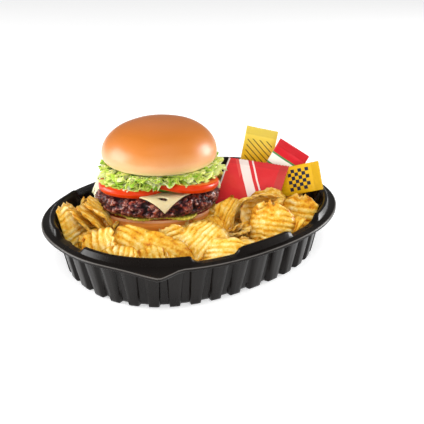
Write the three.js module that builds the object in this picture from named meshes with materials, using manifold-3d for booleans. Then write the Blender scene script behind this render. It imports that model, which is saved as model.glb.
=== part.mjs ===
// A burger with ridged potato chips and four sauce and seasoning sachets, served in an
// open oval takeaway tray with a fluted wall. Millimetres, +Z up. The origin is on the
// table under the middle of the tray, +X along the tray's length.
import * as THREE from "three";
import { mergeVertices } from "three/addons/utils/BufferGeometryUtils.js";
import Module from "manifold-3d";

const wasm = await Module();
wasm.setup();

// ---------------------------------------------------------------- driving dimensions
const GAP = 0.3; // air kept between neighbouring pieces

const RIM_LENGTH = 285; // tray over its rim
const RIM_WIDTH = 230.6;
const RIM_HEIGHT = 46.7;
const WALL = 1.3;
const RIB_COUNT = 36;
const FLUTE_DEPTH = 3.5; // how far a panel lies behind the ribs beside it
const BASE_INSET = 22.6; // rim edge to rib foot, in plan
const NECK_INSET = 12.4; // rim edge to the top of a rib
const BEAD_INNER_INSET = 13.2;
const BEAD_HEIGHT = 6; // lid bead above the flange
const BEAD_GAPS = [0, 70, 110, 180, 250, 290]; // degrees round the oval
const BEAD_GAP_HALF = 8;
const BEAD_SLOPE = 2.4; // degrees over which a bead's end rises
const TAB_REACH = 15.3; // pull tab beyond the oval
const TAB_START = 203; // degrees round the oval
const TAB_TIP = 228.7;
const TAB_END = 238.2;

const SERVING_TURN = THREE.MathUtils.degToRad(-38); // the meal faces the tray's tab
const BURGER_X = -31.3; // burger axis, in the turned frame of the meal
const BURGER_Y = 23.7;

const HEEL_RADIUS = 53;
const HEEL_HEIGHT = 18;
const HEEL_TOP = 41;
const PICKLE_HEIGHT = 3.2;
const PATTY_RADIUS = 58;
const LOWER_SHIFT = -3.5; // heel and patty sit a little to the left of the crown
const PATTY_HEIGHT = 20;
const PATTY_BASE = 42.6;
const CHEESE_HEIGHT = 2;
const CHEESE_CORNER = 48; // from the slice's middle to its corner
const CHEESE_X = 4.2; // the slice's middle, from the patty's axis
const CHEESE_Y = -20.3;
const CHEESE_TURN = THREE.MathUtils.degToRad(10);
const TOMATO_RADIUS = 34;
const TOMATO_HEIGHT = 7.4;
const LETTUCE_BASE = 65.6;
const LETTUCE_TOP = 87;
const CROWN_RADIUS = 54.4;
const CROWN_BASE = 85.6;
const CROWN_SKIRT = 8.6; // crown's flat underside to its widest ring
const CROWN_DOME = 31.8;

const CHIP_THICKNESS = 2;
const RIDGE_HEIGHT = 1.3;
const RIDGE_PITCH = 11;
const BED_HEIGHT = 38; // middle of the chip heap's core
const BED_EDGE_HEIGHT = 27;

// ------------------------------------------------------------------ shared geometry
// A repeatable random sequence between 0 and 1.
function sequence(seed) {
  let state = seed;
  return () => {
    state = (state * 1664525 + 1013904223) % 4294967296;
    return state / 4294967296;
  };
}

// A closed geometry as a solid, whichever way its faces were wound.
function solid(geometry) {
  const bare = geometry.index ? geometry.toNonIndexed() : geometry.clone();
  bare.deleteAttribute("normal");
  bare.deleteAttribute("uv");
  const merged = mergeVertices(bare, 1e-3);
  const vertProperties = new Float32Array(merged.attributes.position.array);
  const build = (triVerts) =>
    new wasm.Manifold(new wasm.Mesh({ numProp: 3, vertProperties, triVerts }));
  const triVerts = new Uint32Array(merged.index.array);
  const made = build(triVerts);
  return made.volume() < 0 ? build(triVerts.reverse()) : made;
}

// The largest body of a solid, without loose scraps or sealed hollows.
function mainBody(body) {
  const bodies = body.decompose();
  return bodies.reduce((a, b) => (a.volume() > b.volume() ? a : b));
}

function geometryOf(body) {
  const mesh = body.getMesh();
  const geometry = new THREE.BufferGeometry();
  geometry.setAttribute("position", new THREE.BufferAttribute(mesh.vertProperties, 3));
  geometry.setIndex(new THREE.BufferAttribute(mesh.triVerts, 1));
  geometry.computeVertexNormals();
  return geometry;
}

function named(name, body, colour, roughness) {
  const material = new THREE.MeshStandardMaterial({ color: colour, roughness, metalness: 0 });
  const mesh = new THREE.Mesh(geometryOf(body), material);
  mesh.name = name;
  return mesh;
}

// A body of revolution about +Z from [radius, height] pairs, each vertex then passed
// through shape(point, angle).
function turned(profile, segments, shape = (point) => point) {
  const points = profile.map(([radius, height]) => new THREE.Vector2(radius, height));
  const geometry = new THREE.LatheGeometry(points, segments).rotateX(Math.PI / 2);
  const position = geometry.attributes.position;
  const point = new THREE.Vector3();
  for (let i = 0; i < position.count; i += 1) {
    point.fromBufferAttribute(position, i);
    shape(point, Math.atan2(point.y, point.x));
    position.setXYZ(i, point.x, point.y, point.z);
  }
  return geometry;
}

// A curved sheet given a thickness. middle(u, v) is its mid surface for u and v from
// -0.5 to 0.5, and thick(u, v) its thickness. Both faces are split into triangles alike.
function sheet(columns, rows, middle, thick) {
  const plane = new THREE.PlaneGeometry(1, 1, columns, rows);
  const grid = plane.attributes.position;
  const count = grid.count;
  const step = 0.01;
  const corners = new Float32Array(count * 6);
  for (let i = 0; i < count; i += 1) {
    const u = grid.getX(i);
    const v = grid.getY(i);
    const point = middle(u, v);
    const alongU = middle(u + step, v).sub(middle(u - step, v));
    const alongV = middle(u, v + step).sub(middle(u, v - step));
    const offset = alongU.cross(alongV).normalize().multiplyScalar(thick(u, v) / 2);
    point.clone().add(offset).toArray(corners, i * 3);
    point.clone().sub(offset).toArray(corners, (count + i) * 3);
  }
  const faces = [];
  const top = plane.index.array;
  for (let i = 0; i < top.length; i += 3) {
    faces.push(top[i], top[i + 1], top[i + 2]);
    faces.push(count + top[i], count + top[i + 2], count + top[i + 1]);
  }
  const wall = (a, b) => faces.push(a, count + a, b, b, count + a, count + b);
  const across = columns + 1;
  for (let i = 0; i < columns; i += 1) {
    wall(i + 1, i);
    wall(rows * across + i, rows * across + i + 1);
  }
  for (let j = 0; j < rows; j += 1) {
    wall(j * across, (j + 1) * across);
    wall((j + 1) * across + columns, j * across + columns);
  }
  const geometry = new THREE.BufferGeometry();
  geometry.setAttribute("position", new THREE.BufferAttribute(corners, 3));
  geometry.setIndex(faces);
  return geometry;
}

// --------------------------------------------------------------------------- the tray
// The rim's outline is a superellipse, walked in equal steps of its length.
const RIM_BULGE = 2.23;
const BASE_BULGE = 2.4;
const OUTLINE_STEPS = 1440;

function ovalPoint(angle, inset, bulge) {
  const c = Math.cos(angle);
  const s = Math.sin(angle);
  return new THREE.Vector2(
    Math.sign(c) * (RIM_LENGTH / 2 - inset) * Math.abs(c) ** (2 / bulge),
    Math.sign(s) * (RIM_WIDTH / 2 - inset) * Math.abs(s) ** (2 / bulge),
  );
}

function equalSteps() {
  const lengths = [0];
  let last = ovalPoint(0, 0, RIM_BULGE);
  for (let i = 1; i <= OUTLINE_STEPS; i += 1) {
    const next = ovalPoint((i / OUTLINE_STEPS) * 2 * Math.PI, 0, RIM_BULGE);
    lengths.push(lengths[i - 1] + next.distanceTo(last));
    last = next;
  }
  return lengths;
}

const outlineLengths = equalSteps();

// The oval's angle at a fraction of the way round.
function angleAt(fraction) {
  const wanted = (((fraction % 1) + 1) % 1) * outlineLengths[OUTLINE_STEPS];
  const next = Math.max(1, outlineLengths.findIndex((length) => length >= wanted));
  const span = outlineLengths[next] - outlineLengths[next - 1];
  const part = (wanted - outlineLengths[next - 1]) / span;
  return ((next - 1 + part) / OUTLINE_STEPS) * 2 * Math.PI;
}

function bulgeAt(inset) {
  return THREE.MathUtils.mapLinear(
    THREE.MathUtils.clamp(inset, NECK_INSET, BASE_INSET),
    NECK_INSET,
    BASE_INSET,
    RIM_BULGE,
    BASE_BULGE,
  );
}

// The pull tab: a long rise to its tip and a short fall after it.
function tabReach(degrees) {
  const rise = THREE.MathUtils.clamp((degrees - TAB_START) / (TAB_TIP - TAB_START), 0, 1);
  const fall = THREE.MathUtils.clamp((TAB_END - degrees) / (TAB_END - TAB_TIP), 0, 1);
  const ease = (part) => (1 - Math.cos(Math.PI * part)) / 2;
  const share = degrees < TAB_TIP ? rise ** 1.5 * (0.4 + 0.6 * ease(rise)) : ease(fall) ** 1.4;
  return TAB_REACH * share;
}

// The bead stands at full height except in its gaps, whose ends slope.
function beadShare(degrees) {
  const share = (gap) => {
    const away = Math.abs(((degrees - gap + 540) % 360) - 180);
    return THREE.MathUtils.clamp((away - BEAD_GAP_HALF) / BEAD_SLOPE, 0, 1);
  };
  return Math.min(...BEAD_GAPS.map(share));
}

// Rows of the tray's section, from the middle of the underside, out and up to the rim,
// and down the inside to the middle of the floor.
const RIB_FOOT = 0.22; // half a rib's width at its foot, as a share of the pitch
const RIB_HEAD = 0.33;
const FLOOR = 1.5;
const traySection = [
  { scale: 0, z: 0 },
  { inset: 24.6, z: 0, rib: RIB_FOOT },
  { inset: BASE_INSET, z: 2.2, panelZ: 4.6, rib: RIB_FOOT + 0.02 },
  { inset: NECK_INSET, z: 45.2, rib: RIB_HEAD },
  { inset: 0.3, z: 44.3, tab: true },
  { inset: 0, z: RIM_HEIGHT, tab: true },
  { inset: 6.4, z: RIM_HEIGHT },
  { inset: 8.2, z: RIM_HEIGHT, bead: true },
  { inset: 11.6, z: RIM_HEIGHT, bead: true },
  { inset: BEAD_INNER_INSET, z: RIM_HEIGHT - 0.5 },
  { inset: NECK_INSET + WALL, z: 43.4, rib: RIB_HEAD - 0.02 },
  { inset: BASE_INSET + WALL, z: 3.6, panelZ: 5.6, rib: RIB_FOOT },
  { inset: 28, z: FLOOR },
  { scale: 0, z: FLOOR },
];

function trayPoint(row, station) {
  const pitch = Math.floor(station / 4);
  const corner = station % 4;
  const onPanel = corner > 1;
  const flank = 0.08;
  const places = row.rib
    ? [-row.rib, row.rib, row.rib + flank, 1 - row.rib - flank]
    : [-0.125, 0.125, 0.375, 0.625];
  const angle = angleAt((pitch + places[corner]) / RIB_COUNT);
  if (row.scale === 0) {
    return new THREE.Vector3(0, 0, row.z);
  }
  const inset = row.inset + (row.rib && onPanel ? FLUTE_DEPTH : 0);
  const plan = ovalPoint(angle, inset, bulgeAt(inset));
  const degrees = THREE.MathUtils.radToDeg(angle);
  if (row.tab) {
    plan.setLength(plan.length() + tabReach(degrees));
  }
  const lift = row.bead ? BEAD_HEIGHT * beadShare(degrees) : 0;
  const z = row.panelZ && onPanel ? row.panelZ : row.z + lift;
  return new THREE.Vector3(plan.x, plan.y, z);
}

function trayBody() {
  const stations = RIB_COUNT * 4;
  const points = traySection.map((row, j) => new THREE.Vector2(row.scale === 0 ? 0 : 1, j));
  const geometry = new THREE.LatheGeometry(points, stations);
  const position = geometry.attributes.position;
  for (let i = 0; i <= stations; i += 1) {
    traySection.forEach((row, j) => {
      const { x, y, z } = trayPoint(row, i % stations);
      position.setXYZ(i * traySection.length + j, x, y, z);
    });
  }
  return solid(geometry);
}

// A solid with the tray's plan at each of its levels, given as [inset, height] pairs.
function ovalStack(levels, segments, bottom, top) {
  const rows = [[null, bottom], ...levels, [null, top]];
  const points = rows.map(([inset], j) => new THREE.Vector2(inset === null ? 0 : 1, j));
  const geometry = new THREE.LatheGeometry(points, segments);
  const position = geometry.attributes.position;
  for (let i = 0; i <= segments; i += 1) {
    rows.forEach(([inset, z], j) => {
      const angle = ((i % segments) / segments) * 2 * Math.PI;
      const plan = ovalPoint(angle, inset ?? 0, bulgeAt(inset ?? 0));
      const share = inset === null ? 0 : 1;
      position.setXYZ(i * rows.length + j, plan.x * share, plan.y * share, z);
    });
  }
  return solid(geometry);
}

// The room inside the tray and above its rim, clear of the tray's own material.
function servingRoom() {
  const clear = GAP + 0.6;
  const overHeap = 120;
  const levels = [
    [BASE_INSET + WALL + FLUTE_DEPTH + 2, FLOOR + GAP],
    [BASE_INSET + WALL + FLUTE_DEPTH + clear, 6],
    [NECK_INSET + WALL + FLUTE_DEPTH + clear, 43],
    [BEAD_INNER_INSET + clear, RIM_HEIGHT],
    [BEAD_INNER_INSET + clear, overHeap],
  ];
  return ovalStack(levels, 30, FLOOR + GAP, overHeap);
}

// ------------------------------------------------------------------------- the burger
// Heights here are at the burger's axis. Its lower half leans back a little, because the
// chips prop up its front.
function leaned(geometry, degrees, height, x = 0, y = 0, sideways = 0) {
  geometry.rotateY(THREE.MathUtils.degToRad(sideways));
  geometry.rotateX(THREE.MathUtils.degToRad(-degrees));
  return geometry.translate(x, y, height);
}

const HEEL_LEAN = 7;
const PATTY_LEAN = 6;
const TOMATO_LEAN = 4;
const CROWN_LEAN = 2.5;

function heelBody(clear = 0) {
  const radius = HEEL_RADIUS + clear;
  const profile = [
    [0, -HEEL_HEIGHT - clear],
    [radius - 14, -HEEL_HEIGHT - clear],
    [radius - 5, -HEEL_HEIGHT + 3.5 - clear],
    [radius - 0.6, -HEEL_HEIGHT + 9],
    [radius, -HEEL_HEIGHT + 13],
    [radius - 1.2, -1.2],
    [radius - 4, clear],
    [0, clear],
  ];
  const uneven = (point, angle) => {
    const swell = 1 + 0.012 * Math.sin(2 * angle + 0.6) + 0.008 * Math.sin(5 * angle);
    return point.multiply(new THREE.Vector3(swell, swell, 1));
  };
  return solid(leaned(turned(profile, 32, uneven), HEEL_LEAN, HEEL_TOP, LOWER_SHIFT, -1));
}

// Coarse minced beef: flat above and below, craggy round its side.
function pattyBody(clear = 0) {
  const random = sequence(11);
  const radius = PATTY_RADIUS + clear;
  const levels = [-0.5, -0.42, -0.2, 0.02, 0.24, 0.43, 0.5];
  const pull = [9, 3.6, 0.6, 0, 0.8, 4, 9.5];
  const height = PATTY_HEIGHT + 2 * clear;
  const rim = levels.map((level, i) => [radius - pull[i], (level + 0.5) * height - clear]);
  const profile = [[0, -clear], ...rim, [0, PATTY_HEIGHT + clear]];
  const segments = 40;
  const crags = Array.from({ length: segments * levels.length }, () => random() - 0.5);
  const craggy = (point, angle) => {
    const flat = Math.hypot(point.x, point.y);
    if (flat < 1) {
      return point;
    }
    const level = Math.round(levels.length * ((point.z + clear) / height));
    const turn = Math.round(((angle / (2 * Math.PI) + 1) % 1) * segments) % segments;
    const crag = crags[(level * segments + turn) % crags.length];
    const wave = 0.9 * Math.sin(3 * angle + 1) + 0.6 * Math.sin(7 * angle);
    const scale = (flat + wave + 2.6 * crag) / flat;
    return point.multiply(new THREE.Vector3(scale, scale, 1));
  };
  return solid(leaned(turned(profile, segments, craggy), PATTY_LEAN, PATTY_BASE, LOWER_SHIFT, -3));
}

// A square slice laid corner forwards, whose corners bend down over the patty's edge.
function cheeseBody(clear = 0) {
  const bendStart = 50;
  const bendRadius = 9.5 + CHEESE_HEIGHT / 2;
  const bendAngle = THREE.MathUtils.degToRad(84);
  const drape = (u, v) => {
    const flatSlice = new THREE.Vector2(u - v, u + v).multiplyScalar(CHEESE_CORNER + 2 * clear);
    const { x, y } = flatSlice
      .rotateAround(new THREE.Vector2(), CHEESE_TURN)
      .add(new THREE.Vector2(CHEESE_X, CHEESE_Y));
    const flat = Math.hypot(x, y);
    const turn = THREE.MathUtils.clamp((flat - bendStart) / bendRadius, 0, bendAngle);
    const rest = Math.max(0, flat - bendStart - bendRadius * bendAngle);
    const reach =
      Math.min(flat, bendStart) + bendRadius * Math.sin(turn) + rest * Math.cos(bendAngle);
    const drop = bendRadius * (1 - Math.cos(turn)) + rest * Math.sin(bendAngle);
    const scale = flat > 0 ? reach / flat : 1;
    return new THREE.Vector3(x * scale, y * scale, -drop);
  };
  const thickness = CHEESE_HEIGHT + 2 * clear;
  const slice = sheet(8, 8, drape, () => thickness);
  const height = PATTY_BASE + PATTY_HEIGHT + GAP + CHEESE_HEIGHT / 2;
  return solid(leaned(slice, PATTY_LEAN, height, LOWER_SHIFT, -3));
}

// The slit hole near the cheese's hanging corner.
function cheeseHole() {
  const hole = new THREE.SphereGeometry(1, 12, 8).scale(4.6, 2, 12);
  hole.rotateZ(THREE.MathUtils.degToRad(-16));
  hole.rotateX(THREE.MathUtils.degToRad(15));
  return solid(hole.translate(5.5, -56, 68.8));
}

function tomatoBody(x, y, height, sideways, seed, clear = 0, segments = 24) {
  const radius = TOMATO_RADIUS + clear;
  const half = TOMATO_HEIGHT / 2 + clear;
  const profile = [
    [0, -half],
    [radius - 1.8, -half],
    [radius, -half * 0.35],
    [radius - 0.4, half * 0.55],
    [radius - 2.4, half],
    [0, half],
  ];
  const uneven = (point, angle) => {
    const swell = 1 + 0.015 * Math.sin(3 * angle + seed) + 0.01 * Math.sin(5 * angle + 2 * seed);
    return point.multiply(new THREE.Vector3(swell, swell, 1));
  };
  const slice = turned(profile, segments, uneven);
  return solid(leaned(slice, TOMATO_LEAN, height + TOMATO_HEIGHT / 2, x, y, sideways));
}

function pickleBody(x, y, clear = 0) {
  const radius = 15 + clear;
  const half = PICKLE_HEIGHT / 2 + clear;
  const profile = [
    [0, -half],
    [radius, -half],
    [radius, half],
    [0, half],
  ];
  const wavy = (point, angle) => {
    const swell = 1 + 0.04 * Math.sin(4 * angle);
    return point.multiply(new THREE.Vector3(swell, swell, 1));
  };
  const slice = turned(profile, 14, wavy).translate(x, y, 0);
  return solid(leaned(slice, (HEEL_LEAN + PATTY_LEAN) / 2, HEEL_TOP + 0.8));
}

function crownGeometry(clear, segments) {
  const radius = CROWN_RADIUS + clear;
  const base = 46.5 + clear;
  const profile = [[0, -clear]];
  const skirtSteps = 3;
  for (let i = 0; i <= skirtSteps; i += 1) {
    const turn = (i / skirtSteps) * (Math.PI / 2);
    profile.push([
      base + (radius - base) * Math.sin(turn),
      CROWN_SKIRT * (1 - Math.cos(turn)) - clear * Math.cos(turn),
    ]);
  }
  const domeSteps = 7;
  for (let i = 1; i <= domeSteps; i += 1) {
    const turn = (i / domeSteps) * (Math.PI / 2);
    const flat = radius * Math.cos(turn) ** 0.86;
    profile.push([i === domeSteps ? 0 : flat, CROWN_SKIRT + (CROWN_DOME + clear) * Math.sin(turn)]);
  }
  const lopsided = (point) => {
    const share = THREE.MathUtils.clamp(point.z / (CROWN_SKIRT + CROWN_DOME), 0, 1);
    point.x += 3.5 * share * share;
    return point;
  };
  return turned(profile, segments, lopsided);
}

function crownBody(clear = 0, segments = 34) {
  return solid(leaned(crownGeometry(clear, segments), CROWN_LEAN, CROWN_BASE));
}

// Chopped leaf: a core that packs the room between the patty and the crown, with ruffled
// pieces hanging out all round.
function lettuceBody() {
  const random = sequence(5);
  const depth = LETTUCE_TOP - LETTUCE_BASE;
  const core = [
    [0, 0],
    [42, 0],
    [46, depth * 0.3],
    [48, depth * 0.6],
    [44, depth + 8],
    [0, depth + 8],
  ];
  const ragged = (point, angle) => {
    const swell = 1 + 0.03 * Math.sin(5 * angle) + 0.03 * Math.sin(7 * angle + 2);
    return point.multiply(new THREE.Vector3(swell, swell, 1));
  };
  let heap = solid(leaned(turned(core, 20, ragged), PATTY_LEAN, LETTUCE_BASE));
  const pieces = 12;
  for (let i = 0; i < pieces; i += 1) {
    const angle = ((i + 0.6 * random()) / pieces) * 2 * Math.PI;
    const width = 20 + 7 * random();
    const length = 13 + 5 * random();
    const waves = 1.4 + 0.8 * random();
    const phase = 6 * random();
    const frontLeft = Math.max(0, Math.cos(angle + 2.1));
    const hang = 2 + (3 + 6 * random()) * frontLeft;
    const height = 82.5 + 3 * random() * (1 - frontLeft);
    const leaf = (u, v) => {
      const along = Math.max(0, v + 0.5);
      const ruffle = Math.sin(2 * Math.PI * waves * u + phase) * (0.5 + 2.8 * along);
      const out = 44 + length * along * (1 - 0.5 * u * u);
      const drop = hang * along ** 2;
      return new THREE.Vector3(out, u * width * (1 + 0.2 * along), height - drop + ruffle);
    };
    const geometry = sheet(5, 2, leaf, () => 1.8).rotateZ(angle);
    heap = heap.add(solid(geometry));
  }
  return heap;
}

// -------------------------------------------------------------------------- the chips
// One ridged chip: an oval slice with ridges across it, bent a little like a saddle. It
// is made flat and then turned: first its ridges within its own plane (grain), then
// tipped from lying to standing with its face forwards (tip), then swung about the
// upright (swing).
function chipSolid([x, y, z, width, length, grain, tip, swing, bend, curl]) {
  const columns = 2 * Math.round(width / RIDGE_PITCH);
  const middle = (u, v) => {
    const across = u * width;
    const side = Math.sqrt(Math.max(0.03, 1 - (1.96 * u) ** 2));
    const along = v * length * side;
    const ridge = (Math.round((u + 0.5) * columns) % 2) * RIDGE_HEIGHT;
    const saddle = (bend * across * across) / width - (curl * along * along) / length;
    return new THREE.Vector3(across, along, ridge + saddle);
  };
  const chip = sheet(columns, 2, middle, () => CHIP_THICKNESS);
  chip.rotateZ(THREE.MathUtils.degToRad(grain));
  chip.rotateX(THREE.MathUtils.degToRad(tip));
  chip.rotateZ(THREE.MathUtils.degToRad(swing));
  return solid(chip.translate(x, y, z));
}

// The chips that show, in the meal's frame:
// x, y, z, width across the ridges, length along them, grain, tip, swing, bend, curl.
const shownChips = [
  // left end: one leans on the wall, three stand on edge, one is folded
  [-106, -32, 43, 48, 30, -75, 56, 39, 0.5, 0.8],
  [-95, -34, 43, 32, 46, 0, 58, 101, 0.2, 0.3],
  [-86, -30, 44, 34, 46, 0, 57, 99, 0.2, 0.3],
  [-77, -15, 49, 36, 46, 5, 56, 96, 0.2, 0.5],
  [-78, -70, 41, 30, 32, 20, 52, -12, 1.4, 0.4],
  // front left, before the burger
  [-47, -79, 45, 36, 52, 56, 47, 2, -0.7, 0.5],
  [-22, -80, 43, 26, 56, 58, 46, 12, -0.6, 0.6],
  [-58, -99, 41, 36, 26, 5, 56, -18, 0.6, 0.6],
  [-32, -103, 42, 32, 26, 12, 58, 4, -0.7, 0.5],
  [-14, -60, 38, 32, 40, -58, 42, 0, 0.4, 0.8],
  // front right
  [11, -70, 42, 54, 44, -35, 46, -6, -0.9, 0.6],
  [32, -88, 41, 32, 64, -80, 46, -28, -0.5, 0.5],
  [70, -40, 46, 42, 44, -88, 58, -20, 0.4, 0.9],
  [92, -38, 41, 34, 28, 0, 58, -36, 0.6, 0.4],
  [99, -6, 42, 36, 42, -85, 54, -28, 0.3, 0.7],
  // right of the burger
  [31, -16, 46, 28, 36, 10, 60, -58, 0.4, 0.5],
  [60, 4, 50, 50, 34, 115, 66, -150, -1.5, 0.3],
  [44.8, -2, 49, 34, 46, 33, 50, -112, 0.2, 0.9],
  [74, 6, 41, 42, 44, -76, 56, 8, 0.4, 0.8],
  // behind the burger
  [-96, 14, 31, 36, 38, 78, 50, 80, 0.4, 0.7],
  [30, 70, 40, 42, 46, 75, 52, 150, 0.4, 0.7],
  [10, 92, 37, 36, 46, 15, 46, 180, 0.4, 0.6],
  [64, 68, 38, 34, 40, 30, 42, 130, 0.3, 0.8],
];

// The heap's core, from the tray's floor up.
function chipBed() {
  const wallClear = BASE_INSET + WALL + FLUTE_DEPTH + GAP + 0.2;
  const levels = [
    [wallClear + 3, FLOOR + GAP],
    [wallClear, 8],
    [wallClear - 5, BED_EDGE_HEIGHT],
    [wallClear + 4, BED_EDGE_HEIGHT + 7],
  ];
  return ovalStack(levels, 20, FLOOR + GAP, BED_HEIGHT);
}

// ----------------------------------------------------------------------- the sachets
function sachetSolid(sachet, clear = 0) {
  const seal = 0.36; // share of half the length where the pillow ends
  const flat = 0.9 + 2 * clear;
  const pillow = (u, v) => {
    const across = Math.max(0, 1 - (2.06 * u) ** 2) ** 0.6;
    const along = Math.max(0, 1 - Math.abs(v / (0.5 - 0.5 * seal * 0.4)) ** 3);
    return flat + sachet.plump * across * along;
  };
  const place = (u, v) =>
    new THREE.Vector3(
      u * (sachet.width + 2 * clear),
      (v - 0.5) * (sachet.length + 2 * clear) + clear,
      sachet.bow * (1 - 4 * v * v) + sachet.twist * u * v,
    );
  const body = sheet(4, 6, place, pillow);
  body.rotateX(Math.PI / 2);
  body.rotateY(THREE.MathUtils.degToRad(sachet.roll));
  body.rotateX(THREE.MathUtils.degToRad(-sachet.lean));
  body.rotateZ(THREE.MathUtils.degToRad(-sachet.yaw));
  return solid(body.translate(sachet.x, sachet.y, sachet.z));
}

const sachets = [
  {
    name: "sachet_mustard",
    colour: 0xf1cf45,
    x: 69.5,
    y: 88,
    z: 94.5,
    yaw: 4,
    lean: 10,
    roll: 10,
    width: 32,
    length: 70,
    plump: 4,
    bow: 1,
    twist: 3,
  },
  {
    name: "sachet_ketchup",
    colour: 0xce1020,
    x: 100,
    y: 62,
    z: 84,
    yaw: 22,
    lean: 14,
    roll: 25,
    width: 34,
    length: 70,
    plump: 5,
    bow: 1,
    twist: -3,
  },
  {
    name: "sachet_mayonnaise",
    colour: 0xe8b90a,
    x: 123,
    y: 33.7,
    z: 66.2,
    yaw: 22,
    lean: 20,
    roll: 71,
    width: 28,
    length: 70,
    plump: 4,
    bow: 0,
    twist: 2,
  },
  {
    name: "sachet_seasoning",
    colour: 0xda3334,
    x: 64.3,
    y: 55,
    z: 71.3,
    yaw: 25,
    lean: 45,
    roll: 0,
    width: 64,
    length: 50,
    plump: 3,
    bow: 1.5,
    twist: 3,
  },
];

// ----------------------------------------------------------------------- the assembly
const meal = new THREE.Group();
meal.add(named("tray", trayBody(), 0x2b2725, 0.25));

const serving = new THREE.Group();
serving.rotation.z = SERVING_TURN;
meal.add(serving);

const burger = new THREE.Group();
burger.position.set(BURGER_X, BURGER_Y, 0);
serving.add(burger);

const pickles = [
  [-15, -42],
  [21, -40],
];
const picklesClear = pickles.map(([x, y]) => pickleBody(x, y, GAP));
const withoutAll = (body, cutters) => cutters.reduce((left, cutter) => left.subtract(cutter), body);

const heel = withoutAll(heelBody(), picklesClear);
burger.add(named("bun_bottom", mainBody(heel), 0xc97a42, 0.6));
const patty = mainBody(withoutAll(pattyBody(), [...picklesClear, heelBody(GAP)]));
burger.add(named("patty", patty, 0x3a201a, 0.35));
pickles.forEach(([x, y], i) => {
  burger.add(named(`pickle_${i + 1}`, pickleBody(x, y), 0xa8a038, 0.35));
});
const cheese = mainBody(cheeseBody().subtract(pattyBody(GAP)).subtract(cheeseHole()));
burger.add(named("cheese", cheese, 0xebdaa8, 0.4));

const leftTomato = (clear, sides) => tomatoBody(-22.7, -20, 65.4, 2, 1, clear, sides);
const rightTomato = (clear, sides) => tomatoBody(22.4, -19, 70.2, 5, 4, clear, sides);
const underTomatoes = [pattyBody(GAP), cheeseBody(GAP)];
const leftSlice = mainBody(withoutAll(leftTomato(0), underTomatoes));
burger.add(named("tomato_left", leftSlice, 0xe2400c, 0.25));
const rightSlice = mainBody(withoutAll(rightTomato(0), [...underTomatoes, leftTomato(GAP)]));
burger.add(named("tomato_right", rightSlice, 0xe2400c, 0.25));

const coarse = 12; // sides of a plainer cutter, which needs a little more room
const overLettuce = [leftTomato(1.8, coarse), rightTomato(1.8, coarse), crownBody(2.4, coarse)];
const lettuce = mainBody(withoutAll(lettuceBody(), overLettuce));
burger.add(named("lettuce", lettuce, 0x9ccb3c, 0.4));
burger.add(named("bun_top", crownBody(), 0xc8722c, 0.4));

sachets.forEach((sachet) => {
  serving.add(named(sachet.name, sachetSolid(sachet), sachet.colour, 0.35));
});

// The chips fill what the burger and the sachets leave of the tray.
const turnedBack = [0, 0, -THREE.MathUtils.radToDeg(SERVING_TURN)];
const room = servingRoom().rotate(turnedBack);
const standing = [heelBody(GAP), pattyBody(GAP)].map((body) =>
  body.translate([BURGER_X, BURGER_Y, 0]),
);
const inChips = [...standing, ...sachets.map((sachet) => sachetSolid(sachet, GAP))];
const heap = shownChips.reduce(
  (pile, chip) => pile.add(chipSolid(chip)),
  chipBed().rotate(turnedBack),
);
const chips = mainBody(withoutAll(heap.intersect(room), inChips));
serving.add(named("chips", chips, 0xe2a93c, 0.6));

export default meal;
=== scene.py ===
import bisect
import random
from math import atan2, copysign, cos, degrees, exp, hypot, pi, radians, sin

import bmesh
import bpy
from mathutils import Matrix, Vector, noise


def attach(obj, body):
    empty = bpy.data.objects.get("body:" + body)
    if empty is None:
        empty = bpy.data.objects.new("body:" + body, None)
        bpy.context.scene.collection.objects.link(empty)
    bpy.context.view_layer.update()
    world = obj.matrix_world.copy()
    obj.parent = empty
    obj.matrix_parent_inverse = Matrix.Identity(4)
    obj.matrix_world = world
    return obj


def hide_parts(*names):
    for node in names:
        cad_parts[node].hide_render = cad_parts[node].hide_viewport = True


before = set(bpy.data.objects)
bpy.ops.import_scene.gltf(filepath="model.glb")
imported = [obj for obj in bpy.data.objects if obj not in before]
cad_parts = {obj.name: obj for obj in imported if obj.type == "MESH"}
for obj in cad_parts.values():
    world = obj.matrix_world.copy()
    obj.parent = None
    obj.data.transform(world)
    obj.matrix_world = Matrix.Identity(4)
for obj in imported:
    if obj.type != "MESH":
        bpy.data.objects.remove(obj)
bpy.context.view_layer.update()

# -------- the tray
# An open oval takeaway tray, vacuum formed from one sheet of black polypropylene. Its
# wall is fluted for stiffness, and a raised bead in six lengths takes a snap-on lid.
# Sizes are in millimetres, like the frame's source, and become metres at the end.
MM = 0.001
RIM_LENGTH = 285.0
RIM_WIDTH = 230.6
RIM_HEIGHT = 46.7
RIM_BULGE = 2.23
BASE_BULGE = 2.4
NECK_INSET = 12.4
BASE_INSET = 22.6
RIB_COUNT = 36
RIB_FOOT = 0.22
RIB_HEAD = 0.33
FLUTE_DEPTH = 3.5
BEAD_HEIGHT = 6.0
BEAD_GAPS = (0, 70, 110, 180, 250, 290)
BEAD_GAP_HALF = 8
BEAD_SLOPE = 2.4
TAB_REACH = 15.3
TAB_START = 203
TAB_TIP = 228.7
TAB_END = 238.2
OUTLINE_STEPS = 1440

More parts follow.
